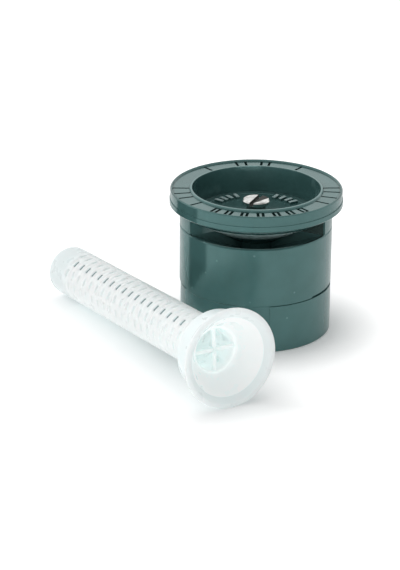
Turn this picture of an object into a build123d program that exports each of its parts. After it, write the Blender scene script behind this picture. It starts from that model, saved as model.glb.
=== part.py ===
from build123d import *
from math import asin, atan, cos, degrees, radians, sin
import os

# Pop-up spray nozzle with its filter screen taken out and lying in front of it.
# Millimetres. The nozzle stands on z = 0, its axis is the Z axis and its window faces -Y.

# Nozzle: its whole height, and the heights of its parts from the top down
nozzle_height = 21.5
flange_thickness = 2.37
flange_band = 0.85
window_height = 3.15
deflector_edge_drop = 0.8
deflector_depth = 4.78
dish_depth = 0.75
orifice_length = 1.6
web_thickness = 1.85
spigot_length = 2.2

# Nozzle: radii
flange_radius = 12.7
body_radius = 11.2
bowl_mouth_radius = 9.42
bowl_floor_radius = 8.85
deflector_flat_radius = 2.5

# Fits between the pieces
turning_clearance = 0.04
seat_clearance = 0.05
cone_seat_gap = 0.1
edge_break = 0.15

# How far a cut reaches past the face that it opens
cut_margin = 1

# Nozzle: levels above the base plane
flange_low = nozzle_height - flange_thickness
flange_band_top = flange_low + flange_band
window_sill = flange_low - window_height
deflector_edge = flange_low - deflector_edge_drop
deflector_low = deflector_edge - deflector_depth
dish_low = deflector_low - dish_depth
orifice_floor = dish_low - orifice_length
spigot_top = orifice_floor - web_thickness - seat_clearance
ring_line = spigot_top - spigot_length

# Spray window: where its first side wall stands, seen from above, and how far it opens
window_start = 211
window_span = 121

# Threaded base: its wall outside the riser thread and the recessed half of the band
base_wall = 2.7
thread_wall_radius = body_radius - base_wall
panel_recess = 0.15
panel_start = 100
panel_span = 180

# Body: skirt round the spigot, dished floor, orifice, inlet and two pry notches over the ring line
body_skirt = 1.25
sill_width = 0.45
orifice_width = 0.55
inlet_radius = 4.2
notch_height = 0.35
notch_depth = 0.6
notch_starts = (317, 172)
notch_span = 33

# Deflector cap: bowl, cone, rim lips, skirt and side walls
bowl_depth = 3.75
undercut_depth = 0.4
undercut_slope = 0.12
lip_width = 0.4
lip_top_width = 0.25
pad_drop = 0.25
band_proud = 0.1
skirt_wall = 1.3
skirt_gap_start = 176
skirt_gap_height = 0.25
skirt_gap_depth = 0.5
side_wall = 1.2
groove_width = 0.38
groove_depth = 0.5
groove_directions = (3, 54.5, 79, 85, 97, 104, 129, 179.5, 191, 201, 216.5, 329, 342, 354)
mark_directions = (237, 248, 260, 272, 284, 295, 306)
mark_length = 1.9
mark_width = 1.15
mark_bar_length = 1.3
mark_bar_width = 0.32
scale_tick_directions = (34, 43, 53, 63, 115, 125, 134, 143)
scale_tick_radius = 6.7
scale_tick_length = 1.4
scale_tick_width = 0.5
scale_tick_height = 0.3

# Adjusting screw
screw_radius = 1.4
screw_head_radius = 2.0
screw_head_height = 0.6
screw_head_gap = 1.32
screw_slot_width = 0.6
screw_slot_depth = 0.5
screw_slot_direction = 68
screw_tip_drop = 1.6
screw_tip_length = 1.2
screw_tip_radius = 0.6

# Filter screen: where its open face lies on the floor and which way it points
screen_face_x = -3.84
screen_face_y = -29.57
screen_direction = -59.6

# Filter screen: lengths along its axis and radii
screen_length = 48.0
screen_head_radius = 7.18
screen_rim = 0.4
neck_length = 1.3
screen_rim_width = 0.7
screen_ring_radius = 5.55
screen_ring_depth = 0.86
cup_radius = 6.35
cup_back_radius = 5.83
cup_length = 4.85
cup_chamfer = 0.35
funnel_depth = 4.3
funnel_radius = 3.25
tube_radius = 3.71
tube_wall = 0.6
tail_chamfer = 0.5
cross_rib = 0.5
cross_rib_depth = 0.8

# Filter screen: rows of slots, each in a narrow flat, with every other row half a pitch along
slot_pitch = 1.89
slots_in_row = 19
slot_rows = 12
slot_width = 1.05
slot_height = 0.55
slot_margin = 0.03
first_slot = 7.6
slot_row_direction = 110


def ring_sector(inner, outer, start, span):
    """Face between two radii and two directions round the nozzle's axis."""
    with BuildSketch() as sector:
        with BuildLine():
            CenterArc((0, 0), outer, start, span)
            CenterArc((0, 0), inner, start, span)
            PolarLine((inner * cos(radians(start)), inner * sin(radians(start))), outer - inner, start)
            PolarLine(
                (inner * cos(radians(start + span)), inner * sin(radians(start + span))),
                outer - inner,
                start + span,
            )
        make_face()
    return sector.sketch


def upright_plane(direction):
    """Plane through the Z axis whose first axis points outward in a direction and second up."""
    outward = (cos(radians(direction)), sin(radians(direction)), 0)
    sideways = (sin(radians(direction)), -cos(radians(direction)), 0)
    return Plane(origin=(0, 0, 0), x_dir=outward, z_dir=sideways)


def cone_radius(height):
    """Radius of the deflector's cone at a height above the base plane."""
    share = (height - deflector_low) / (deflector_edge - deflector_low)
    return deflector_flat_radius + share * (body_radius - deflector_flat_radius)


def tube_outline(radius):
    """Corners of the tube's section: a flat for each row of slots and a narrower one between rows."""
    half_flat = degrees(asin((slot_width / 2 + slot_margin) / radius))
    corners = []
    for row in range(slot_rows):
        row_angle = slot_row_direction + row * 360 / slot_rows
        for angle in (row_angle - half_flat, row_angle + half_flat):
            corners.append((radius * cos(radians(angle)), radius * sin(radians(angle))))
    return corners


# Threaded base: a band with the thread's wall inside and a spigot that enters the body
with BuildPart() as threaded_base:
    spigot_radius = body_radius - body_skirt - seat_clearance
    with BuildSketch(Plane.XZ):
        with BuildLine():
            Polyline(
                (thread_wall_radius, 0),
                (body_radius - edge_break, 0),
                (body_radius, edge_break),
                (body_radius, ring_line),
                (spigot_radius, ring_line),
                (spigot_radius, spigot_top - edge_break),
                (spigot_radius - edge_break, spigot_top),
                (thread_wall_radius, spigot_top),
                close=True,
            )
        make_face()
    revolve(axis=Axis.Z)
    with BuildSketch():
        add(ring_sector(body_radius - panel_recess, body_radius + cut_margin, panel_start, panel_span))
    extrude(amount=ring_line, mode=Mode.SUBTRACT)
threaded_base.part.label = "threaded_base"

# Nozzle body: a thick ring with a conical seat, a dished spray floor and an inlet
with BuildPart() as nozzle_body:
    web_low = spigot_top + seat_clearance
    hub_bore = deflector_flat_radius + seat_clearance
    counterbore = body_radius - body_skirt
    with BuildSketch(Plane.XZ):
        with BuildLine():
            Polyline(
                (hub_bore, orifice_floor),
                (inlet_radius, orifice_floor),
                (inlet_radius, web_low),
                (counterbore, web_low),
                (counterbore, ring_line),
                (body_radius - edge_break, ring_line),
                (body_radius, ring_line + edge_break),
                (body_radius, window_sill - edge_break),
                (body_radius - edge_break, window_sill),
                (cone_radius(window_sill) + cone_seat_gap, window_sill),
                (hub_bore + cone_seat_gap, deflector_low - cone_seat_gap),
                (hub_bore, deflector_low - cone_seat_gap),
                close=True,
            )
        make_face()
    revolve(axis=Axis.Z)
    # Dish under the window, which leads the spray out over the sill
    orifice_radius = deflector_flat_radius + orifice_width
    with BuildSketch(upright_plane(window_start)):
        with BuildLine():
            Polyline(
                (0, window_sill + cut_margin),
                (body_radius - sill_width, window_sill + cut_margin),
                (body_radius - sill_width, window_sill),
                (orifice_radius, dish_low),
                (0, dish_low),
                close=True,
            )
        make_face()
    revolve(axis=Axis.Z, revolution_arc=window_span, mode=Mode.SUBTRACT)
    # Curved orifice beside the hub, from the inlet up to the dish
    with BuildSketch(Plane.XY.offset(orifice_floor)):
        add(ring_sector(deflector_flat_radius, orifice_radius, window_start, window_span))
    extrude(amount=dish_low - orifice_floor, mode=Mode.SUBTRACT)
    # Shallow pry notches in the lower edge
    for notch_start in notch_starts:
        with BuildSketch(Plane.XY.offset(ring_line)):
            add(ring_sector(body_radius - notch_depth, body_radius + cut_margin, notch_start, notch_span))
        extrude(amount=notch_height, mode=Mode.SUBTRACT)
nozzle_body.part.label = "nozzle_body"

# Deflector cap: flange with a bowl in its top and the spray cone underneath
with BuildPart() as deflector_cap:
    bowl_floor = nozzle_height - bowl_depth
    screw_bore = screw_radius + turning_clearance
    pad_top = nozzle_height - pad_drop
    rim_radius = flange_radius - band_proud
    undercut_radius = body_radius - undercut_depth
    with BuildSketch(Plane.XZ):
        with BuildLine():
            Polyline(
                (0, nozzle_height),
                (bowl_mouth_radius + lip_top_width, nozzle_height),
                (bowl_mouth_radius + lip_width, pad_top),
                (rim_radius - lip_width, pad_top),
                (rim_radius - lip_top_width, nozzle_height),
                (rim_radius - edge_break, nozzle_height),
                (rim_radius, nozzle_height - edge_break),
                (rim_radius, flange_band_top),
                (flange_radius, flange_band_top),
                (flange_radius, flange_low + edge_break),
                (flange_radius - edge_break, flange_low),
                (undercut_radius, flange_low),
                (undercut_radius, deflector_edge + undercut_slope),
                (body_radius, deflector_edge),
                (deflector_flat_radius, deflector_low),
                (deflector_flat_radius, orifice_floor),
                (0, orifice_floor),
                close=True,
            )
        make_face()
    revolve(axis=Axis.Z)
    # Skirt that closes the side away from the spray, seated on the body
    skirt_start = window_start + window_span
    skirt_span = 360 - window_span
    with BuildSketch(Plane.XY.offset(window_sill)):
        add(ring_sector(body_radius - skirt_wall, body_radius, skirt_start, skirt_span))
    extrude(amount=flange_low - window_sill)
    with BuildSketch(Plane.XY.offset(window_sill)):
        add(ring_sector(body_radius - edge_break, body_radius + cut_margin, skirt_start, skirt_span))
    extrude(amount=edge_break, mode=Mode.SUBTRACT)
    # Wider gap under the skirt, beside the window's first side wall
    skirt_gap_span = window_start - skirt_gap_start
    gap_inner = body_radius - skirt_gap_depth
    with BuildSketch(Plane.XY.offset(window_sill)):
        add(ring_sector(gap_inner, body_radius + cut_margin, skirt_gap_start, skirt_gap_span))
    extrude(amount=skirt_gap_height, mode=Mode.SUBTRACT)
    # Radial walls at the two sides of the window
    wall_length = body_radius - skirt_wall / 2
    with BuildSketch(Plane.XY.offset(window_sill)):
        Rectangle(wall_length, side_wall, rotation=window_start, align=(Align.MIN, Align.MAX))
        Rectangle(wall_length, side_wall, rotation=skirt_start, align=(Align.MIN, Align.MIN))
        Circle(cone_radius(window_sill) - side_wall, mode=Mode.SUBTRACT)
    extrude(amount=flange_low - window_sill)
    # Bowl, with the screw's bore through its floor
    with BuildSketch(Plane.XZ):
        with BuildLine():
            Polyline(
                (0, bowl_floor),
                (bowl_floor_radius, bowl_floor),
                (bowl_mouth_radius, nozzle_height),
                (0, nozzle_height),
                close=True,
            )
        make_face()
    revolve(axis=Axis.Z, mode=Mode.SUBTRACT)
    with BuildSketch(Plane.XY.offset(bowl_floor)):
        Circle(screw_bore)
    extrude(amount=orifice_floor - bowl_floor, mode=Mode.SUBTRACT)
    # Radial grooves and the pockets of the front marks, each with a bar left standing in it
    channel_inner = bowl_mouth_radius + lip_width
    channel_outer = rim_radius - lip_width
    channel_length = channel_outer - channel_inner
    with BuildSketch(Plane.XY.offset(pad_top)):
        for direction in groove_directions:
            with PolarLocations((channel_inner + channel_outer) / 2, 1, start_angle=direction):
                Rectangle(channel_length, groove_width)
        for direction in mark_directions:
            with PolarLocations((channel_inner + channel_outer) / 2, 1, start_angle=direction):
                Rectangle(mark_length, mark_width)
                Rectangle(mark_bar_length, mark_bar_width, mode=Mode.SUBTRACT)
    extrude(amount=-groove_depth, mode=Mode.SUBTRACT)
    # Scale ticks on the bowl's floor
    with BuildSketch(Plane.XY.offset(bowl_floor)):
        for direction in scale_tick_directions:
            with PolarLocations(scale_tick_radius, 1, start_angle=direction):
                Rectangle(scale_tick_length, scale_tick_width)
    extrude(amount=scale_tick_height)
deflector_cap.part.label = "deflector_cap"

# Adjusting screw: slotted head in the bowl, shank through the hub, tip in the inlet
with BuildPart() as adjusting_screw:
    head_low = bowl_floor + screw_head_gap
    head_top = head_low + screw_head_height
    screw_tip_height = orifice_floor - screw_tip_drop
    with BuildSketch(Plane.XZ):
        with BuildLine():
            Polyline(
                (0, screw_tip_height),
                (screw_tip_radius, screw_tip_height),
                (screw_radius, screw_tip_height + screw_tip_length),
                (screw_radius, head_low),
                (screw_head_radius, head_low),
                (screw_head_radius, head_top - edge_break),
                (screw_head_radius - edge_break, head_top),
                (0, head_top),
                close=True,
            )
        make_face()
    revolve(axis=Axis.Z)
    with BuildSketch(Plane.XY.offset(head_top)):
        Rectangle(2 * screw_head_radius + cut_margin, screw_slot_width, rotation=screw_slot_direction)
    extrude(amount=-screw_slot_depth, mode=Mode.SUBTRACT)
adjusting_screw.part.label = "adjusting_screw"

# Where the screen lies: the back edge of its rim and its tail both touch the base plane
screen_lean = atan((screen_head_radius - tube_radius) / (screen_length - tail_chamfer - screen_rim))
face_height = screen_head_radius * cos(screen_lean) + screen_rim * sin(screen_lean)
screen_axis = Vector(
    cos(radians(screen_direction)) * cos(screen_lean),
    sin(radians(screen_direction)) * cos(screen_lean),
    sin(screen_lean),
)
screen_side = Vector(-sin(radians(screen_direction)), cos(radians(screen_direction)), 0)
screen_face = Vector(screen_face_x, screen_face_y, face_height)

# Filter screen: cupped head, tube with a closed tail, and staggered rows of slots
with BuildPart() as filter_screen:
    bore_radius = tube_radius - tube_wall
    # Half section of the head, drawn outward along X and toward the face along Y
    with BuildSketch(Plane(origin=screen_face, x_dir=screen_side, z_dir=screen_side.cross(screen_axis))):
        with BuildLine():
            Polyline(
                (0, -cup_length),
                (cup_back_radius - cup_chamfer, -cup_length),
                (cup_back_radius, -cup_length + cup_chamfer),
                (cup_radius, -neck_length),
                (screen_head_radius, -screen_rim),
                (screen_head_radius, 0),
                (screen_head_radius - screen_rim_width, 0),
                (screen_ring_radius, -screen_ring_depth),
                (funnel_radius, -funnel_depth),
                (0, -funnel_depth),
                close=True,
            )
        make_face()
    revolve(axis=Axis(screen_face, screen_axis))
    # Tube behind the head, its tail end chamfered
    tail_end = screen_face - screen_axis * screen_length
    tail_plane = Plane(origin=tail_end, x_dir=screen_side, z_dir=screen_axis)
    with BuildSketch(tail_plane):
        Polygon(*tube_outline(tube_radius), align=None)
    extrude(amount=screen_length - cup_length)
    chamfer(faces().sort_by(Axis(screen_face, screen_axis))[0].edges(), tail_chamfer)
    # Bore, open at the head and closed at the tail
    with BuildSketch(tail_plane.offset(tube_wall)):
        Polygon(*tube_outline(bore_radius), align=None)
    extrude(amount=screen_length - tube_wall - funnel_depth, mode=Mode.SUBTRACT)
    # Slots round the tube, each cut through its wall only
    slot_places = []
    for row in range(slot_rows):
        row_angle = slot_row_direction + row * 360 / slot_rows
        outward = screen_side.rotate(Axis((0, 0, 0), screen_axis), row_angle)
        for slot in range(slots_in_row):
            along = first_slot + (slot + row % 2 / 2) * slot_pitch
            middle = screen_face - screen_axis * along + outward * (tube_radius - tube_wall / 2)
            slot_places.append(Location(Plane(origin=middle, x_dir=screen_axis, z_dir=outward)))
    with Locations(slot_places):
        Box(slot_height, slot_width, 2 * tube_wall, mode=Mode.SUBTRACT)
    # Cross ribs in the mouth of the tube, their ends buried in its wall
    tube_mouth = screen_face - screen_axis * funnel_depth
    with BuildSketch(Plane(origin=tube_mouth, x_dir=screen_side, z_dir=screen_axis)):
        Rectangle(tube_radius + bore_radius, cross_rib)
        Rectangle(cross_rib, tube_radius + bore_radius)
    extrude(amount=-cross_rib_depth)
filter_screen.part.label = "filter_screen"

os.makedirs("parts", exist_ok=True)
for piece in (threaded_base, nozzle_body, deflector_cap, adjusting_screw, filter_screen):
    export_step(piece.part, f"parts/{piece.part.label}.step")
    print(piece.part.label, "volume", round(piece.part.volume, 1), "solids", len(piece.part.solids()))
print("screen leans", round(degrees(screen_lean), 2), "degrees")
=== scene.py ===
import bpy
import numpy as np
from mathutils import Matrix, Vector


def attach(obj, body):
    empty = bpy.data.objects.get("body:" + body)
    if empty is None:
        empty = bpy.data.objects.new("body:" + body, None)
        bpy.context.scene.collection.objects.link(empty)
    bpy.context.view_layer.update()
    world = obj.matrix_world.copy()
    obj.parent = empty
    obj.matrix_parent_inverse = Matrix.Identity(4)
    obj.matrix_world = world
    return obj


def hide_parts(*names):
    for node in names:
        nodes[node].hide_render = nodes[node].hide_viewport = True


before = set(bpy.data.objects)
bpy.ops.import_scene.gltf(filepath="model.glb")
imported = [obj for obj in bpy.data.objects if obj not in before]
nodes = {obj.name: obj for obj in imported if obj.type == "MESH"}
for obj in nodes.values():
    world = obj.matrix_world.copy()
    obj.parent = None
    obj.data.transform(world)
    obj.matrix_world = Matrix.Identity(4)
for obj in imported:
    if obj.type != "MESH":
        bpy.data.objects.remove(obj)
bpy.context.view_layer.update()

# Sizes in metres; the nozzle's axis is Z, its open end is at z = 0 and its window faces -Y
MM = 0.001

# Camera, fitted to the rim, the sill and the base of the nozzle in the photograph; angles in degrees
CAMERA_PLACE = Vector((-8.14, -324.2, 137.8)) * MM
CAMERA_ELEVATION = 22.12
CAMERA_ROLL = 0.40
CAMERA_FOCAL_PIXELS = 2357
PHOTO_HEIGHT = 570

# Filter screen: where the middle of its open face is, which way it points in degrees, and its sizes
SCREEN_FACE = (-3.84 * MM, -29.57 * MM)
SCREEN_DIRECTION = -59.6
SCREEN_LENGTH = 48.0 * MM
HEAD_RADIUS = 7.18 * MM
RIM_THICK = 0.4 * MM
NECK_LENGTH = 1.3 * MM
RIM_WIDTH = 0.7 * MM
RING_RADIUS = 5.55 * MM
RING_DEPTH = 0.86 * MM
CUP_RADIUS = 6.35 * MM
CUP_BACK_RADIUS = 5.83 * MM
CUP_LENGTH = 4.85 * MM
FUNNEL_DEPTH = 4.3 * MM
FUNNEL_RADIUS = 3.25 * MM
TUBE_RADIUS = 3.71 * MM
TUBE_WALL = 0.6 * MM
TAIL_BAND = 3 * MM
TAIL_ROUND = 0.5 * MM
RIDGE = 0.16 * MM
CROSS_RIB = 0.5 * MM
CROSS_RIB_DEPTH = 0.8 * MM

# Slots of the screen: their rows round the tube, and the turn of the first row in degrees
SLOT_PITCH = 1.89 * MM
SLOTS_IN_ROW = 19
SLOT_ROWS = 12
SLOT_WIDTH = 1.05 * MM
SLOT_HEIGHT = 0.55 * MM
FIRST_SLOT = 7.6 * MM
SLOT_ROW_DIRECTION = 125

# Cells of the screen's mesh: a slot's edges in parts of its height, the cells between slots along
# the tube and round it, and the points on a rounded corner of the profile
SLOT_EDGES = np.array([-0.5, -0.17, 0.17, 0.5])
GAP_CELLS_ALONG = 4
SLOT_CELLS_ROUND = 4
GAP_CELLS_ROUND = 3
CORNER_POINTS = 5
FINE_CORNER_POINTS = 4
LONG_CORNER_POINTS = 7

# Cells of a cross rib's mesh, and how far its section leans from an ellipse (1) to a square (0)
RIB_POINTS_ROUND = 24
RIB_STATIONS = 9
RIB_SQUARENESS = 0.4

# Riser thread in the base; its section is in parts of its depth and of its pitch
THREAD_ROOT = 8.5 * MM
THREAD_DEPTH = 0.42 * MM
THREAD_PITCH = 1.27 * MM
THREAD_START = 0.5 * MM
THREAD_TURNS = 6
THREAD_STEPS_A_TURN = 64
THREAD_SECTION_OUT = np.array([0.02, -1.0, -1.0, 0.02])
THREAD_SECTION_UP = np.array([-0.46, -0.10, 0.10, 0.46])
THREAD_LEAST_DEPTH = 0.02
THREAD_LEAST_WIDTH = 0.1

# Marks on the nozzle, in millimetres: heights, distances from the axis, and how strong the tone is
# The grooves, corners, bowl floor and side and the back edge are painted shade; the bowl's lip and ring are
# painted highlights
GROOVE_SHADE = ((20.6, 21.12), (9.75, 12.25), 0.8)
OUTER_CORNER_SHADE = ((21.2, 21.34), (12.06, 12.25), 0.75)
INNER_CORNER_SHADE = ((21.2, 21.3), (9.80, 9.92), 0.45)
BOWL_LIP_HIGHLIGHT = ((21.44, 21.6), (9.2, 9.75), 0.35)
BOWL_FLOOR_SHADE = ((17.6, 17.8), (0.0, 8.9), 0.70)
BOWL_SIDE_SHADE = ((17.6, 21.3), (8.84, 9.5), 0.24)
BACK_EDGE_SHADE = ((21.3, 21.6), (12.40, 12.7), 0.7)
BOWL_TICKS = ((18.0, 18.1), (5.9, 7.5), 1.0)
BOWL_RING_HIGHLIGHT = ((17.6, 17.8), (7.65, 7.8), 0.6)
BOWL_SCUFFS = ((17.9, 21.3), (8.6, 9.5), 1.0)

# Where along Y the painted shade on the rim's back edge sets in, in metres
RIM_BACK = (-8.0 * MM, -3.0 * MM)

# How the patchy noise and the scuffs break the marks up, from their weakest to their strongest
PATCHINESS = (0.55, 1.0)
SCUFFS = (0.0, 0.35)

# Specks of the moulding: distance from a speck's middle where it ends, in parts of its cell, and strength
SPECK_EDGE = (0.05, 0.09)
SPECK_STRENGTH = 0.55

# The cone and the wall in the window, in millimetres: heights and distances from the axis, then the
# middle along X, which has a painted highlight, and in metres where the painted shade at the right sets in
LOW_CONE = ((16.0, 17.6), (6.8, 10.9))
HIGH_CONE = ((17.6, 18.5), (9.9, 10.9))
CONE_SOFT = 0.1
LIT_WINDOW_MIDDLE = (-6.0, 5.0)
LIT_WINDOW_MIDDLE_SOFT = 2.0
WINDOW_RIGHT = (5.0 * MM, 7.0 * MM)
WINDOW_SHADE = 0.95

# Screw, in millimetres: its slot and its shank, both with painted shade, and the lines that bound the
# wedge of painted shade on its head, each with its direction in degrees and its span across that direction
SCREW_SLOT = ((19.0, 19.45), (0.0, 1.94))
SCREW_FACE = (19.4, 19.7)
SCREW_SHANK = (0.0, 19.02)
SHADED_WEDGE_LINES = ((68.0, -2.2, 0.34), (46.0, -0.95, 2.2))
SLOT_SHADE_STRENGTH = 0.92
WEDGE_ROUGHNESS = 0.7
SHANK_SHADE_STRENGTH = 0.7

# Tones of the screen, in millimetres: depths behind its face, and distances from its axis or its middle.
# The head and tail get painted shade, the bore and cup painted light, and one row of slots painted shade
HEAD_DEPTHS = (-1.0, 5.5)
TAIL_DEPTHS = (43.5, 50.0)
BORE_RADII = (0.0, 3.4)
BORE_DEPTHS = (3.0, 46.0)
CUP_RADII = (0.0, 5.65)
CUP_DEPTHS = (-1.0, 4.6)
LIT_WALL_RADII = (2.95, 3.4)
LIT_WALL_DEPTHS = (4.0, 46.0)
DARK_ROW_OUT = (2.9, 3.48)
DARK_ROW_ACROSS = (-0.56, 0.56)
DARK_ROW_DEPTHS = (7.0, 43.5)
DARK_STRIP_SIDE = (2.85, 3.2)
DARK_STRIP_UP = (-1.25, -0.15)
DARK_STRIP_DEPTHS = (14.0, 47.0)
ROW_SHADE_STRENGTH = 0.8

# Glow inside the screen, which stands for light through its thin walls: bore, its mouth and cup, and
# the depths in metres over which the mouth's turns into the bore's
BORE_GLOW = 0.07
MOUTH_GLOW = 0.12
CUP_GLOW = 0.07
MOUTH_TO_BORE = (12 * MM, 16 * MM)

# Colours, as linear red, green and blue
GREY_GREEN = (0.041, 0.100, 0.097)
PALE_GREY_GREEN = (0.051, 0.122, 0.119)
TICK_WHITE = (0.48, 0.58, 0.58)
# Brown of the painted shade in the window's right side
SHADE_BROWN = (0.020, 0.022, 0.018)
LOW_STEEL = (0.42, 0.43, 0.41)
HIGH_STEEL = (0.93, 0.93, 0.91)
# Painted shade on the screw's slot, the wedge beside it and its shank
SHADED_STEEL = (0.05, 0.055, 0.05)
SHADED_SHANK_STEEL = (0.10, 0.11, 0.10)
NYLON = (0.890, 0.960, 0.963)
PALE_NYLON = (0.910, 0.970, 0.973)
# Painted shade for the screen's head and tail
SHADED_HEAD_NYLON = (0.830, 0.893, 0.896)
SHADED_TAIL_NYLON = (0.740, 0.800, 0.806)
# Painted light for the screen's bore and cup
LIT_INNER_NYLON = (0.935, 0.985, 0.982)
# Grey of the painted shade in the dark row of slots
SLOT_SHADE_GREY = (0.25, 0.31, 0.32)

# Roughness of each material, from its smoothest places to its roughest
PLASTIC_ROUGHNESS = (0.15, 0.24)
STEEL_ROUGHNESS = (0.10, 0.26)
NYLON_ROUGHNESS = (0.24, 0.38)

# Spans of a noise's values that are stretched to a whole range of results
WIDE_SPAN = (0.3, 0.7)
NARROW_SPAN = (0.35, 0.65)
SCUFF_SPAN = (0.60, 0.72)

# Studio: strengths of its walls and ceiling, at the front right and toward LIGHT_SIDE, and the
# spans of facing over which they change
FRONT_WALL = 0.5
BACK_WALL = 1.0
WALL_FACING = (-0.8, 0.5)
FRONT_CEILING = 0.26
BACK_CEILING = 1.6
CEILING_FACING = (-0.6, 0.6)
LIGHT_SIDE = (-0.75, 0.66, 0.0)

# Upward part of a ray where the walls end, and where gloss starts to see a dimmer ceiling
WALL_TOP = 0.40
WALL_TOP_SOFT = 0.06
MIRROR_TOP = 0.75
MIRROR_TOP_SOFT = 0.12
CEILING_MIRRORED = 0.45

# Floor: its half width, its glow, the glow that only the camera sees, and the span of distances
# from the nozzle's foot and from the screen over which that one sets in; closer in, its lack is a painted
# contact shadow
FLOOR_REACH = 3.0
PAPER_GLOW = 0.10
PAPER_SEEN_GLOW = 0.30
CONTACT_SHADE = (1.0 * MM, 8.0 * MM)
BASE_RADIUS = 11.2 * MM

# Black card: its place in x, and its spans in y and z
FLAG_PLACE = -14 * MM
FLAG_SPAN = (-9.6 * MM, -2.9 * MM)
FLAG_HEIGHTS = (6 * MM, 21.5 * MM)

# Lamp: its place and aim, its width and height, and its watts
LAMP_PLACE = (0.12, -0.60, 0.026)
LAMP_AIM = (0, 0, 0.012)
LAMP_SIZE = (0.5, 0.05)
LAMP_POWER = 0.55


def new_piece(name, points, faces, material):
    """Puts worked-out points and faces into a mesh object at the origin."""
    mesh = bpy.data.meshes.new(name)
    used, numbered = np.unique(np.concatenate([np.asarray(face) for face in faces]), return_inverse=True)
    corners = iter(numbered.tolist())
    mesh.from_pydata(points[used].tolist(), [], [[next(corners) for _ in face] for face in faces])
    mesh.validate()
    mesh.shade_smooth()
    mesh.materials.append(material)
    piece = bpy.data.objects.new(name, mesh)
    bpy.context.scene.collection.objects.link(piece)
    return piece


def screen_axes():
    """The screen's axis toward its face, its level side and its third direction, and the face's middle."""
    lean = np.arctan((HEAD_RADIUS - TUBE_RADIUS) / (SCREEN_LENGTH - TAIL_ROUND - RIM_THICK))
    turn = np.radians(SCREEN_DIRECTION)
    axis = np.array([np.cos(turn) * np.cos(lean), np.sin(turn) * np.cos(lean), np.sin(lean)])
    side = np.array([-np.sin(turn), np.cos(turn), 0.0])
    face = np.array([*SCREEN_FACE, HEAD_RADIUS * np.cos(lean) + RIM_THICK * np.sin(lean)])
    return axis, side, np.cross(axis, side), face


# Materials

def shader_tree(name):
    """A fresh material with its node tree, its shader and the Object coordinates."""
    material = bpy.data.materials.new(name)
    material.use_nodes = True
    tree = material.node_tree
    shader = tree.nodes["Principled BSDF"]
    place = tree.nodes.new("ShaderNodeTexCoord").outputs["Object"]
    return material, tree, shader, place


def noise(tree, place, scale, detail=3.0, rough=0.5):
    """Soft noise of a given number of features a metre."""
    node = tree.nodes.new("ShaderNodeTexNoise")
    node.inputs["Scale"].default_value = scale
    node.inputs["Detail"].default_value = detail
    node.inputs["Roughness"].default_value = rough
    tree.links.new(place, node.inputs["Vector"])
    return node.outputs["Fac"]


def remap(tree, value, low, high, out_low, out_high):
    """A value carried from one range to another, and held inside it."""
    node = tree.nodes.new("ShaderNodeMapRange")
    node.inputs["From Min"].default_value = low
    node.inputs["From Max"].default_value = high
    node.inputs["To Min"].default_value = out_low
    node.inputs["To Max"].default_value = out_high
    tree.links.new(value, node.inputs["Value"])
    return node.outputs["Result"]


def mottled(tree, place, scale, detail, span, results, rough=0.5):
    """Soft noise, with one span of its values stretched to a span of results."""
    return remap(tree, noise(tree, place, scale, detail, rough), *span, *results)


def put(tree, value, socket):
    """A number set on a socket, or another node's output linked to it."""
    if isinstance(value, float):
        socket.default_value = value
    else:
        tree.links.new(value, socket)


def blend_values(tree, amount, first, second):
    """Two values mixed by an amount."""
    node = tree.nodes.new("ShaderNodeMix")
    tree.links.new(amount, node.inputs["Factor"])
    put(tree, first, node.inputs["A"])
    put(tree, second, node.inputs["B"])
    return node.outputs["Result"]


def blend_colours(tree, amount, first, second):
    """Two colours mixed by an amount; each is a plain colour or another node's output."""
    node = tree.nodes.new("ShaderNodeMix")
    node.data_type = "RGBA"
    tree.links.new(amount, node.inputs["Factor"])
    for socket, colour in ((node.inputs[6], first), (node.inputs[7], second)):
        if isinstance(colour, tuple):
            socket.default_value = (*colour, 1.0)
        else:
            tree.links.new(colour, socket)
    return node.outputs[2]


def toned(colour, times, more=0.0):
    """A colour times a number, with some white added."""
    return tuple(part * times + more for part in colour)


def raised(tree, shader, heights, strength, distance):
    """A bump on the shader, from a height and how deep it is."""
    node = tree.nodes.new("ShaderNodeBump")
    node.inputs["Strength"].default_value = strength
    node.inputs["Distance"].default_value = distance
    tree.links.new(heights, node.inputs["Height"])
    tree.links.new(node.outputs["Normal"], shader.inputs["Normal"])


def joined(tree, operation, first, second):
    """Two values put together by one piece of arithmetic."""
    node = tree.nodes.new("ShaderNodeMath")
    node.operation = operation
    put(tree, first, node.inputs[0])
    put(tree, second, node.inputs[1])
    return node.outputs[0]


def round_axis(tree, place):
    """Height along the nozzle's axis and distance from it."""
    parts = tree.nodes.new("ShaderNodeSeparateXYZ")
    tree.links.new(place, parts.inputs[0])
    flat = tree.nodes.new("ShaderNodeVectorMath")
    flat.operation = "MULTIPLY"
    flat.inputs[1].default_value = (1, 1, 0)
    tree.links.new(place, flat.inputs[0])
    length = tree.nodes.new("ShaderNodeVectorMath")
    length.operation = "LENGTH"
    tree.links.new(flat.outputs[0], length.inputs[0])
    return parts.outputs["Z"], length.outputs["Value"]


def along(tree, place, direction):
    """How far a place lies along a direction from the origin."""
    node = tree.nodes.new("ShaderNodeVectorMath")
    node.operation = "DOT_PRODUCT"
    node.inputs[1].default_value = direction
    tree.links.new(place, node.inputs[0])
    return node.outputs["Value"]


def within(tree, value, low, high, soft=0.05):
    """One between two lengths in millimetres and nothing outside them, with soft ends."""
    rising = remap(tree, value, (low - soft) * MM, low * MM, 0.0, 1.0)
    falling = remap(tree, value, high * MM, (high + soft) * MM, 1.0, 0.0)
    return joined(tree, "MULTIPLY", rising, falling)


def zone(tree, *bands):
    """The part of a surface where several bands meet: their product."""
    amount = bands[0]
    for band in bands[1:]:
        amount = joined(tree, "MULTIPLY", amount, band)
    return amount


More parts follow.
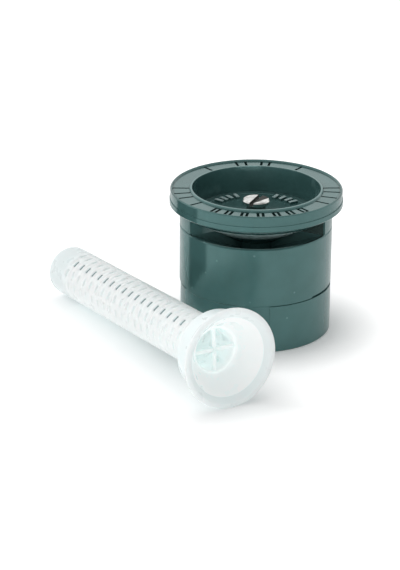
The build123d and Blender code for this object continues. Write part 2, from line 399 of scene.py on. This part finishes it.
def wear_and_painted_light(tree, place, base, colour):
    """Painted shade and painted highlights on the nozzle, with pale scale ticks and worn scuffs in the
    bowl.
    """
    height, radius = round_axis(tree, place)
    sideways = along(tree, place, (1, 0, 0))
    # Dark tone of the painted shade
    painted_shade = toned(colour, times=0.18)
    # Pale tone for the painted highlights on the bowl's lip and ring, and for the worn scuffs
    chalk_and_highlight = toned(colour, times=2.1, more=0.10)
    # Paler tone for the painted highlight on the cone in the window
    cone_highlight_tone = toned(chalk_and_highlight, times=1.0, more=0.22)
    patchiness = mottled(tree, place, 1400, 4.0, WIDE_SPAN, PATCHINESS)
    scuffs = mottled(tree, place, 260, 2.0, SCUFF_SPAN, SCUFFS, rough=0.4)
    back_part = remap(tree, along(tree, place, (0, 1, 0)), *RIM_BACK, 0.0, 1.0)
    # Painted shade in the grooves, corners, bowl and back edge, painted highlights on the bowl's lip and
    # ring, pale ticks and worn scuffs
    for (heights, radii, strength), broken_by, tone in (
            (GROOVE_SHADE, patchiness, painted_shade), (OUTER_CORNER_SHADE, patchiness, painted_shade), (INNER_CORNER_SHADE, patchiness, painted_shade),
            (BOWL_LIP_HIGHLIGHT, 1.0, chalk_and_highlight), (BOWL_FLOOR_SHADE, patchiness, painted_shade), (BOWL_SIDE_SHADE, patchiness, painted_shade),
            (BACK_EDGE_SHADE, back_part, painted_shade), (BOWL_TICKS, patchiness, TICK_WHITE), (BOWL_RING_HIGHLIGHT, patchiness, chalk_and_highlight),
            (BOWL_SCUFFS, scuffs, chalk_and_highlight)):
        mark = zone(tree, within(tree, height, *heights), within(tree, radius, *radii), broken_by, strength)
        base = blend_colours(tree, mark, base, tone)
    cones = [zone(tree, within(tree, height, *heights), within(tree, radius, *radii, CONE_SOFT))
             for heights, radii in (LOW_CONE, HIGH_CONE)]
    window = joined(tree, "MAXIMUM", *cones)
    # A painted highlight on the cone's middle, and painted shade on the window's right side
    middle = within(tree, sideways, *LIT_WINDOW_MIDDLE, LIT_WINDOW_MIDDLE_SOFT)
    base = blend_colours(tree, zone(tree, window, middle, patchiness), base, cone_highlight_tone)
    right_side = remap(tree, sideways, *WINDOW_RIGHT, 0.0, 1.0)
    return blend_colours(tree, zone(tree, window, right_side, WINDOW_SHADE), base, SHADE_BROWN)


def moulded_plastic(name):
    """Satin moulding: faint clouding, pale moulding specks, uneven gloss and a fine grain."""
    material, tree, shader, place = shader_tree(name)
    clouds = mottled(tree, place, 180, 3.0, NARROW_SPAN, (0.0, 1.0))
    base = blend_colours(tree, clouds, GREY_GREEN, PALE_GREY_GREEN)
    specks = tree.nodes.new("ShaderNodeTexVoronoi")
    specks.inputs["Scale"].default_value = 420
    tree.links.new(place, specks.inputs["Vector"])
    speck_amount = remap(tree, specks.outputs["Distance"], *SPECK_EDGE, SPECK_STRENGTH, 0.0)
    base = blend_colours(tree, speck_amount, base, toned(GREY_GREEN, times=1.9, more=0.05))
    # Painted shade and highlights, pale ticks and worn scuffs
    base = wear_and_painted_light(tree, place, base, GREY_GREEN)
    tree.links.new(base, shader.inputs["Base Color"])
    gloss = mottled(tree, place, 420, 5.0, WIDE_SPAN, PLASTIC_ROUGHNESS)
    tree.links.new(gloss, shader.inputs["Roughness"])
    shader.inputs["IOR"].default_value = 1.54
    shader.inputs["Specular IOR Level"].default_value = 1.0
    shader.inputs["Specular Tint"].default_value = (0.60, 1.0, 0.98, 1.0)
    raised(tree, shader, noise(tree, place, 3200, 4.0), strength=0.25, distance=0.02 * MM)
    return material


def shaded_wedge_bands(tree, place):
    """The wedge of painted shade beside the screw's slot, between its line and one that leaves it at an
    angle.
    """
    bands = []
    for degrees, low, high in SHADED_WEDGE_LINES:
        turn = np.radians(degrees)
        distance = along(tree, place, (-np.sin(turn), np.cos(turn), 0.0))
        bands.append(within(tree, distance, low, high))
    return bands


def bright_steel(name):
    """Turned stainless steel: rings of faint tool marks, and painted shade in the slot, beside it and on
    the shank.
    """
    material, tree, shader, place = shader_tree(name)
    tone = mottled(tree, place, 900, 4.0, WIDE_SPAN, (0.0, 1.0))
    base = blend_colours(tree, tone, LOW_STEEL, HIGH_STEEL)
    height, radius = round_axis(tree, place)
    slot_heights, slot_radii = SCREW_SLOT
    slot = zone(tree, within(tree, height, *slot_heights), within(tree, radius, *slot_radii))
    # Painted shade in the slot and on the wedge beside it
    wedge = zone(tree, within(tree, height, *SCREW_FACE), *shaded_wedge_bands(tree, place))
    shaded_places = joined(tree, "MAXIMUM", slot, wedge)
    base = blend_colours(tree, zone(tree, shaded_places, SLOT_SHADE_STRENGTH), base, SHADED_STEEL)
    # Painted shade on the shank under the head
    shank = within(tree, height, *SCREW_SHANK)
    base = blend_colours(tree, zone(tree, shank, SHANK_SHADE_STRENGTH), base, SHADED_SHANK_STEEL)
    tree.links.new(base, shader.inputs["Base Color"])
    shader.inputs["Metallic"].default_value = 1.0
    gloss = mottled(tree, place, 2500, 5.0, WIDE_SPAN, STEEL_ROUGHNESS)
    gloss = joined(tree, "MAXIMUM", gloss, zone(tree, wedge, WEDGE_ROUGHNESS))
    tree.links.new(gloss, shader.inputs["Roughness"])
    rings = tree.nodes.new("ShaderNodeTexWave")
    rings.wave_type = "RINGS"
    rings.rings_direction = "Z"
    rings.inputs["Scale"].default_value = 1800
    rings.inputs["Distortion"].default_value = 1.5
    tree.links.new(place, rings.inputs["Vector"])
    raised(tree, shader, rings.outputs["Fac"], strength=0.25, distance=0.01 * MM)
    return material


def off_screen_axis(tree, place):
    """Distance from the filter screen's axis."""
    axis, _, _, face = screen_axes()
    moved = tree.nodes.new("ShaderNodeVectorMath")
    moved.operation = "SUBTRACT"
    moved.inputs[1].default_value = face
    tree.links.new(place, moved.inputs[0])
    crossed = tree.nodes.new("ShaderNodeVectorMath")
    crossed.operation = "CROSS_PRODUCT"
    crossed.inputs[1].default_value = axis
    tree.links.new(moved.outputs[0], crossed.inputs[0])
    length = tree.nodes.new("ShaderNodeVectorMath")
    length.operation = "LENGTH"
    tree.links.new(crossed.outputs[0], length.inputs[0])
    return length.outputs["Value"]


def from_face(tree, place, direction):
    """How far a place lies from the middle of the screen's face, along a direction."""
    face = screen_axes()[3]
    return joined(tree, "SUBTRACT", along(tree, place, direction), float(face @ direction))


def shaded_slot_row(tree, place, depth):
    """Painted shade on the one row of slots that looks dark, and on the strip of the bore that shows
    through it.
    """
    _, side, third, _ = screen_axes()
    turn = np.radians(SLOT_ROW_DIRECTION)
    outward = np.cos(turn) * side + np.sin(turn) * third
    sideways = np.cos(turn) * third - np.sin(turn) * side
    row = zone(tree, within(tree, from_face(tree, place, outward), *DARK_ROW_OUT),
               within(tree, from_face(tree, place, sideways), *DARK_ROW_ACROSS),
               within(tree, depth, *DARK_ROW_DEPTHS))
    strip = zone(tree, within(tree, from_face(tree, place, side), *DARK_STRIP_SIDE),
                 within(tree, from_face(tree, place, third), *DARK_STRIP_UP),
                 within(tree, depth, *DARK_STRIP_DEPTHS))
    return joined(tree, "MAXIMUM", row, strip)


def clear_white_plastic(name):
    """Thin white nylon, milky outside, with painted light within where light comes through its walls."""
    material, tree, shader, place = shader_tree(name)
    radius = off_screen_axis(tree, place)
    depth = joined(tree, "MULTIPLY", from_face(tree, place, screen_axes()[0]), -1.0)
    clouds = mottled(tree, place, 240, 4.0, NARROW_SPAN, (0.0, 1.0))
    base = blend_colours(tree, clouds, NYLON, PALE_NYLON)
    # Painted shade: the head and the tail are darker
    base = blend_colours(tree, within(tree, depth, *HEAD_DEPTHS, soft=0.5), base, SHADED_HEAD_NYLON)
    base = blend_colours(tree, within(tree, depth, *TAIL_DEPTHS, soft=1.0), base, SHADED_TAIL_NYLON)
    # Painted light: the bore and the cup are brighter
    bore = zone(tree, within(tree, radius, *BORE_RADII, soft=0.1), within(tree, depth, *BORE_DEPTHS))
    cup = zone(tree, within(tree, radius, *CUP_RADII, soft=0.1), within(tree, depth, *CUP_DEPTHS, soft=0.1))
    base = blend_colours(tree, joined(tree, "MAXIMUM", bore, cup), base, LIT_INNER_NYLON)
    # Painted shade on the dark row of slots
    painted_shade = shaded_slot_row(tree, place, depth)
    base = blend_colours(tree, zone(tree, painted_shade, ROW_SHADE_STRENGTH), base, SLOT_SHADE_GREY)
    tree.links.new(base, shader.inputs["Base Color"])
    lit_wall = zone(tree, within(tree, radius, *LIT_WALL_RADII, soft=0.1),
                    within(tree, depth, *LIT_WALL_DEPTHS), joined(tree, "SUBTRACT", 1.0, painted_shade))
    bore_glow = zone(tree, lit_wall, remap(tree, depth, *MOUTH_TO_BORE, MOUTH_GLOW, BORE_GLOW))
    glow = joined(tree, "ADD", bore_glow, zone(tree, cup, CUP_GLOW))
    tree.links.new(glow, shader.inputs["Emission Strength"])
    shader.inputs["Emission Color"].default_value = (0.86, 1.0, 0.98, 1.0)
    gloss = mottled(tree, place, 500, 4.0, WIDE_SPAN, NYLON_ROUGHNESS)
    tree.links.new(gloss, shader.inputs["Roughness"])
    shader.inputs["IOR"].default_value = 1.49
    shader.inputs["Subsurface Weight"].default_value = 1.0
    shader.inputs["Subsurface Radius"].default_value = (1.0, 1.1, 1.1)
    shader.inputs["Subsurface Scale"].default_value = 1.2 * MM
    raised(tree, shader, noise(tree, place, 900), strength=0.1, distance=0.02 * MM)
    return material


grey_green = moulded_plastic("grey_green_plastic")
steel = bright_steel("stainless_steel")
white_nylon = clear_white_plastic("clear_white_plastic")

for node_name in ("threaded_base", "nozzle_body", "deflector_cap"):
    nodes[node_name].material_slots[0].material = grey_green
nodes["adjusting_screw"].material_slots[0].material = steel


# Filter screen and riser thread

def rounded(corner, before, after, cut, count=CORNER_POINTS):
    """Points of a quadratic curve that rounds a corner of a profile, starting a cut's length from it."""
    corner, before, after = (np.array(point, float) for point in (corner, before, after))
    start = corner + (before - corner) / np.linalg.norm(before - corner) * cut
    end = corner + (after - corner) / np.linalg.norm(after - corner) * cut
    t = np.linspace(0, 1, count)[:, None]
    return (1 - t) ** 2 * start + 2 * t * (1 - t) * corner + t**2 * end


def build_screen():
    """The whole moulding as one skin.

    A profile of distance behind the face and radius runs from the closed tail inside, up the
    bore, round the cup and its rim and back down the outside to the tail, and is turned about
    the screen's axis. Outside, the radius falls by the ridge height at each ring of slots. Cells
    of the tube that lie in a slot are left out, and walls join the two skins round each one.
    """
    axis, side, third, face = screen_axes()
    half = SLOT_PITCH / 2
    rings = 2 * SLOTS_IN_ROW
    slot_part = SLOT_EDGES * SLOT_HEIGHT
    gap_part = np.linspace(0, 1, GAP_CELLS_ALONG + 1)[1:-1] * (half - SLOT_HEIGHT) + SLOT_HEIGHT / 2
    cycle = np.concatenate([slot_part, gap_part])
    depths = (FIRST_SLOT + np.arange(rings)[:, None] * half + cycle[None, :]).ravel()
    ring_index = np.repeat(np.arange(rings), len(cycle))
    in_slot = np.tile(np.arange(len(cycle)) < len(SLOT_EDGES) - 1, rings)
    groove = 0.5 + 0.5 * np.cos(2 * np.pi * (depths - FIRST_SLOT) / half)
    bore = TUBE_RADIUS - TUBE_WALL
    outer_tube = np.stack([depths, TUBE_RADIUS - RIDGE * groove], 1)
    inner_tube = np.stack([depths, np.full_like(depths, bore)], 1)

    # Profile: inside from the tail to the rim, then outside from the rim to the tail
    tail_in = SCREEN_LENGTH - TUBE_WALL
    lip = HEAD_RADIUS - RIM_WIDTH
    funnel = (FUNNEL_DEPTH, FUNNEL_RADIUS)
    ring = (RING_DEPTH, RING_RADIUS)
    inner_tail = np.concatenate([
        [[tail_in, 0.0], [tail_in, bore * 0.5]],
        rounded((tail_in, bore), (tail_in, 0), (0, bore), cut=0.4 * MM),
    ])
    inside = np.concatenate([
        inner_tail,
        inner_tube[::-1],
        [[FUNNEL_DEPTH, bore]],
        rounded(funnel, (FUNNEL_DEPTH, bore), ring, cut=0.1 * MM),
        rounded(ring, funnel, (0, lip), cut=0.15 * MM, count=FINE_CORNER_POINTS),
        rounded((0, lip), ring, (0, HEAD_RADIUS), cut=0.12 * MM, count=FINE_CORNER_POINTS),
    ])
    neck = (NECK_LENGTH, CUP_RADIUS)
    cup_back = (CUP_LENGTH, CUP_BACK_RADIUS)
    tube_foot = (CUP_LENGTH, TUBE_RADIUS)
    outer_head = np.concatenate([
        rounded((0, HEAD_RADIUS), (0, lip), (RIM_THICK, HEAD_RADIUS), cut=0.16 * MM),
        rounded((RIM_THICK, HEAD_RADIUS), (0, HEAD_RADIUS), neck, cut=0.16 * MM),
        rounded(neck, (RIM_THICK, HEAD_RADIUS), cup_back, cut=0.3 * MM),
        rounded(cup_back, neck, tube_foot, cut=0.5 * MM, count=LONG_CORNER_POINTS),
        rounded(tube_foot, (CUP_LENGTH, CUP_RADIUS), (tail_in, TUBE_RADIUS), cut=0.25 * MM),
    ])
    outer_tail = np.concatenate([
        [[SCREEN_LENGTH - TAIL_BAND, TUBE_RADIUS]],
        rounded((SCREEN_LENGTH, TUBE_RADIUS), (tail_in, TUBE_RADIUS), (SCREEN_LENGTH, 0),
                cut=TAIL_ROUND, count=LONG_CORNER_POINTS),
        [[SCREEN_LENGTH, TUBE_RADIUS * 0.5], [SCREEN_LENGTH, 0.0]],
    ])
    profile = np.concatenate([inside, outer_head, outer_tube, outer_tail])
    inner_first = len(inner_tail)
    outer_first = len(inside) + len(outer_head)

    # Columns round the tube: the cells of a slot, then the cells up to the next row
    row_angle = 2 * np.pi / SLOT_ROWS
    slot_angle = SLOT_WIDTH / TUBE_RADIUS
    slot_columns = np.linspace(-0.5, 0.5, SLOT_CELLS_ROUND + 1) * slot_angle
    gap_columns = np.linspace(0, 1, GAP_CELLS_ROUND + 1)[1:-1] * (row_angle - slot_angle) + slot_angle / 2
    across = np.concatenate([slot_columns, gap_columns])
    first_row = np.radians(SLOT_ROW_DIRECTION)
    angles = (first_row + np.arange(SLOT_ROWS)[:, None] * row_angle + across[None, :]).ravel()
    row_index = np.repeat(np.arange(SLOT_ROWS), len(across))
    column_in_slot = np.tile(np.arange(len(across)) < SLOT_CELLS_ROUND, SLOT_ROWS)

    count = len(angles)
    directions = np.cos(angles)[:, None] * side + np.sin(angles)[:, None] * third
    points = face - axis * profile[:, None, 0:1] + directions[None] * profile[:, None, 1:2]
    index = np.arange(len(profile) * count).reshape(len(profile), count)
    following = np.roll(index, -1, axis=1)

    # Slots are in every second ring of a row, and neighbouring rows are staggered
    staggered = (ring_index[:, None] + row_index[None, :]) % 2 == 0
    tube_open = in_slot[:, None] & column_in_slot[None, :] & staggered
    last = len(depths) - 1
    open_cells = np.zeros((len(profile) - 1, count), bool)
    open_cells[outer_first:outer_first + last] = tube_open[:last]
    open_cells[inner_first:inner_first + last] = tube_open[:last][::-1]
    cells = np.stack([index[:-1], index[1:], following[1:], following[:-1]], 2)
    quads = cells[1:-1][~open_cells[1:-1]]
    first_fan = np.stack([np.full(count, index[0, 0]), index[1], following[1]], 1)
    last_fan = np.stack([index[-2], np.full(count, index[-1, 0]), following[-2]], 1)

    # Walls of the slots: each edge between an open cell and a closed one joins the two skins
    outer_at = index[outer_first + np.arange(last + 1)]
    inner_at = index[inner_first + last - np.arange(last + 1)]
    outer_next = np.roll(outer_at, -1, axis=1)
    inner_next = np.roll(inner_at, -1, axis=1)
    turned = np.roll(tube_open, 1, axis=1)
    before = np.vstack([np.zeros((1, count), bool), tube_open[:-1]])
    rows, columns = np.nonzero(tube_open & ~turned)
    near = np.stack([outer_at[rows, columns], outer_at[rows + 1, columns],
                     inner_at[rows + 1, columns], inner_at[rows, columns]], 1)
    rows, columns = np.nonzero(~tube_open & turned)
    far = np.stack([inner_at[rows, columns], inner_at[rows + 1, columns],
                    outer_at[rows + 1, columns], outer_at[rows, columns]], 1)
    rows, columns = np.nonzero(tube_open & ~before)
    start = np.stack([outer_next[rows, columns], outer_at[rows, columns],
                      inner_at[rows, columns], inner_next[rows, columns]], 1)
    rows, columns = np.nonzero(~tube_open & before)
    end = np.stack([outer_at[rows, columns], outer_next[rows, columns],
                    inner_next[rows, columns], inner_at[rows, columns]], 1)
    walled = np.concatenate([quads, near, far, start, end])
    faces = walled.tolist() + first_fan.tolist() + last_fan.tolist()
    return new_piece("screen_moulding", points.reshape(-1, 3), faces, white_nylon)


def skinned_sections(name, points, material):
    """A piece from closed sections in a row: quads between neighbours, and a flat cap at each end."""
    index = np.arange(points.shape[0] * points.shape[1]).reshape(points.shape[:2])
    following = np.roll(index, -1, axis=1)
    quads = np.stack([index[:-1], following[:-1], following[1:], index[1:]], 2).reshape(-1, 4)
    faces = quads.tolist() + [index[0][::-1].tolist(), index[-1].tolist()]
    return new_piece(name, points.reshape(-1, 3), faces, material)


def build_cross_rib(name, turned):
    """One rib across the tube's mouth: a rounded square section carried straight across the axis.

    The section is half the rib's width by the cosine and half its depth by the sine of an angle
    that runs once round, each with its sign kept and its size raised to the squareness.
    """
    axis, side, third, face = screen_axes()
    lengthwise = np.cos(turned) * side + np.sin(turned) * third
    crosswise = -np.sin(turned) * side + np.cos(turned) * third
    around = np.linspace(0, 2 * np.pi, RIB_POINTS_ROUND, endpoint=False)
    wide = np.sign(np.cos(around)) * np.abs(np.cos(around)) ** RIB_SQUARENESS * CROSS_RIB / 2
    deep = np.sign(np.sin(around)) * np.abs(np.sin(around)) ** RIB_SQUARENESS * CROSS_RIB_DEPTH / 2
    reach = TUBE_RADIUS - TUBE_WALL / 2
    stations = np.linspace(-reach, reach, RIB_STATIONS)
    middle = face - axis * (FUNNEL_DEPTH + CROSS_RIB_DEPTH / 2)
    points = (middle + stations[:, None, None] * lengthwise
              + wide[None, :, None] * crosswise + deep[None, :, None] * axis)
    return skinned_sections(name, points, white_nylon)


def build_riser_thread():
    """The thread inside the base: a V section carried along a helix, its depth fading at both ends.

    The radius is the root less the section's inward part, the height rises by a pitch each turn,
    and both parts of the section grow from almost nothing over the first and last half turn.
    """
    turn = np.linspace(0, 2 * np.pi * THREAD_TURNS, THREAD_STEPS_A_TURN * THREAD_TURNS + 1)
    height = THREAD_START + THREAD_PITCH / 2 + turn / (2 * np.pi) * THREAD_PITCH
    fade = np.clip(np.minimum(turn, turn[-1] - turn) / np.pi, 0, 1)
    depth = THREAD_DEPTH * np.maximum(fade, THREAD_LEAST_DEPTH)
    width = THREAD_PITCH * np.maximum(fade, THREAD_LEAST_WIDTH)
    radius = THREAD_ROOT + THREAD_SECTION_OUT[None, :] * depth[:, None]
    level = height[:, None] + THREAD_SECTION_UP[None, :] * width[:, None]
    points = np.stack([radius * np.cos(turn)[:, None], radius * np.sin(turn)[:, None], level], 2)
    return skinned_sections("riser_thread_ridge", points, grey_green)


screen = build_screen()
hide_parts("filter_screen")
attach(screen, "nozzle")
for rib_name, rib_turn in (("screen_rib_a", 0.0), ("screen_rib_b", np.pi / 2)):
    rib = build_cross_rib(rib_name, rib_turn)
    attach(rib, "nozzle")
thread = build_riser_thread()
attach(thread, "nozzle")


# Floor, light and camera

def clear_paper(tree, place):
    """One on the open paper, falling to nothing close to the nozzle's foot and under the screen, where the
    paper shows a painted contact shadow.
    """
    near, far = CONTACT_SHADE
    radius = round_axis(tree, place)[1]
    off_nozzle = remap(tree, radius, BASE_RADIUS + near, BASE_RADIUS + far, 0.0, 1.0)
    axis, side, _, _ = screen_axes()
    level = axis * (1, 1, 0) / np.hypot(axis[0], axis[1])
    across = joined(tree, "ABSOLUTE", from_face(tree, place, side), 0.0)
    off_side = remap(tree, across, TUBE_RADIUS, TUBE_RADIUS + far, 0.0, 1.0)
    ahead = from_face(tree, place, level)
    off_face = remap(tree, ahead, 0.0, far, 0.0, 1.0)
    off_tail = remap(tree, ahead, -SCREEN_LENGTH - far, -SCREEN_LENGTH, 1.0, 0.0)
    off_screen = joined(tree, "MAXIMUM", off_side, joined(tree, "MAXIMUM", off_face, off_tail))
    return zone(tree, off_nozzle, off_screen)


def paper_material():
    """White paper: a matt sheet with a faint glow, and a stronger one that only the camera sees."""
    material, tree, shader, place = shader_tree("white_paper")
    shader.inputs["Roughness"].default_value = 0.9
    shader.inputs["Specular IOR Level"].default_value = 0.0
    shader.inputs["Base Color"].default_value = (0.94, 0.94, 0.94, 1)
    shader.inputs["Emission Color"].default_value = (1, 1, 1, 1)
    seen = tree.nodes.new("ShaderNodeLightPath").outputs["Is Camera Ray"]
    seen_glow = zone(tree, seen, clear_paper(tree, place), PAPER_SEEN_GLOW)
    tree.links.new(joined(tree, "ADD", seen_glow, PAPER_GLOW), shader.inputs["Emission Strength"])
    return material


def black_card():
    """Plain black card."""
    material, _, shader, _ = shader_tree("black_card")
    shader.inputs["Base Color"].default_value = (0.01, 0.01, 0.01, 1)
    return material


def flat_sheet(name, corners, material):
    """A flat sheet between four corners."""
    mesh = bpy.data.meshes.new(name)
    mesh.from_pydata(corners, [], [(0, 1, 2, 3)])
    mesh.materials.append(material)
    sheet = bpy.data.objects.new(name, mesh)
    bpy.context.scene.collection.objects.link(sheet)
    return sheet


floor_corners = [(x * FLOOR_REACH, y * FLOOR_REACH, 0) for x, y in ((-1, -1), (1, -1), (1, 1), (-1, 1))]
floor = flat_sheet("floor", floor_corners, paper_material())

# A small black card at the nozzle's left that only gloss shows, for the dark line down its side
near, far = FLAG_SPAN
low, high = FLAG_HEIGHTS
card_corners = [(FLAG_PLACE, y, z) for y, z in ((near, low), (far, low), (far, high), (near, high))]
card = flat_sheet("black_flag", card_corners, black_card())
card.visible_camera = card.visible_diffuse = card.visible_transmission = card.visible_shadow = False


def studio_world():
    """A white room: walls up to a low height, a ceiling above them, and plain white to the camera.

    The strength changes from the walls' to the ceiling's as a ray's upward part passes WALL_TOP.
    Both rise from the front right of the room toward LIGHT_SIDE, at its back left. Gloss sees
    white walls and a dimmer ceiling in place of them, and rays that have passed through
    something see plain white, as the camera does.
    """
    world = bpy.data.worlds.new("studio")
    world.use_nodes = True
    tree = world.node_tree
    background = tree.nodes["Background"]
    background.inputs["Color"].default_value = (1, 1, 1, 1)
    direction = tree.nodes.new("ShaderNodeTexCoord").outputs["Generated"]
    upward = along(tree, direction, (0, 0, 1))
    facing = along(tree, direction, LIGHT_SIDE)
    walls = remap(tree, facing, *WALL_FACING, FRONT_WALL, BACK_WALL)
    ceiling = remap(tree, facing, *CEILING_FACING, FRONT_CEILING, BACK_CEILING)
    above = remap(tree, upward, WALL_TOP - WALL_TOP_SOFT, WALL_TOP + WALL_TOP_SOFT, 0.0, 1.0)
    mirrored = remap(tree, upward, MIRROR_TOP - MIRROR_TOP_SOFT, MIRROR_TOP + MIRROR_TOP_SOFT,
                     1.0, CEILING_MIRRORED)
    rays = tree.nodes.new("ShaderNodeLightPath")
    shown = blend_values(tree, above, walls, ceiling)
    for ray, level in (("Is Glossy Ray", mirrored), ("Is Transmission Ray", 1.0), ("Is Camera Ray", 1.0)):
        shown = blend_values(tree, rays.outputs[ray], shown, level)
    tree.links.new(shown, background.inputs["Strength"])
    return world


def strip_lamp(name, place, aim, size, power):
    """A long low area lamp at a place, turned to an aim, hidden from the camera."""
    lamp = bpy.data.lights.new(name, "AREA")
    lamp.shape = "RECTANGLE"
    lamp.size, lamp.size_y = size
    lamp.energy = power
    holder = bpy.data.objects.new(name, lamp)
    holder.location = place
    holder.rotation_euler = (Vector(aim) - Vector(place)).to_track_quat("-Z", "Y").to_euler()
    holder.visible_camera = False
    bpy.context.scene.collection.objects.link(holder)


def photo_camera():
    """The fitted camera: raised by its elevation, aimed toward +Y and rolled about its own axis."""
    data = bpy.data.cameras.new("camera")
    data.sensor_fit = "VERTICAL"
    data.sensor_height = 36.0
    data.lens = CAMERA_FOCAL_PIXELS * data.sensor_height / PHOTO_HEIGHT
    data.clip_start = 0.01
    data.clip_end = 20.0
    camera = bpy.data.objects.new("camera", data)
    elevation = np.radians(CAMERA_ELEVATION)
    roll = np.radians(CAMERA_ROLL)
    forward = Vector((0, np.cos(elevation), -np.sin(elevation)))
    level_right = Vector((1, 0, 0))
    level_up = level_right.cross(forward)
    right = level_right * np.cos(roll) + level_up * np.sin(roll)
    up = level_up * np.cos(roll) - level_right * np.sin(roll)
    turn = Matrix((right, up, -forward)).transposed().to_4x4()
    camera.matrix_world = Matrix.Translation(CAMERA_PLACE) @ turn
    bpy.context.scene.collection.objects.link(camera)
    return camera


bpy.context.scene.world = studio_world()
strip_lamp("low_front", LAMP_PLACE, LAMP_AIM, LAMP_SIZE, LAMP_POWER)
bpy.context.scene.camera = photo_camera()
bpy.context.scene.view_settings.view_transform = "Standard"
bpy.context.scene.cycles.max_bounces = 32
bpy.context.scene.cycles.diffuse_bounces = 24
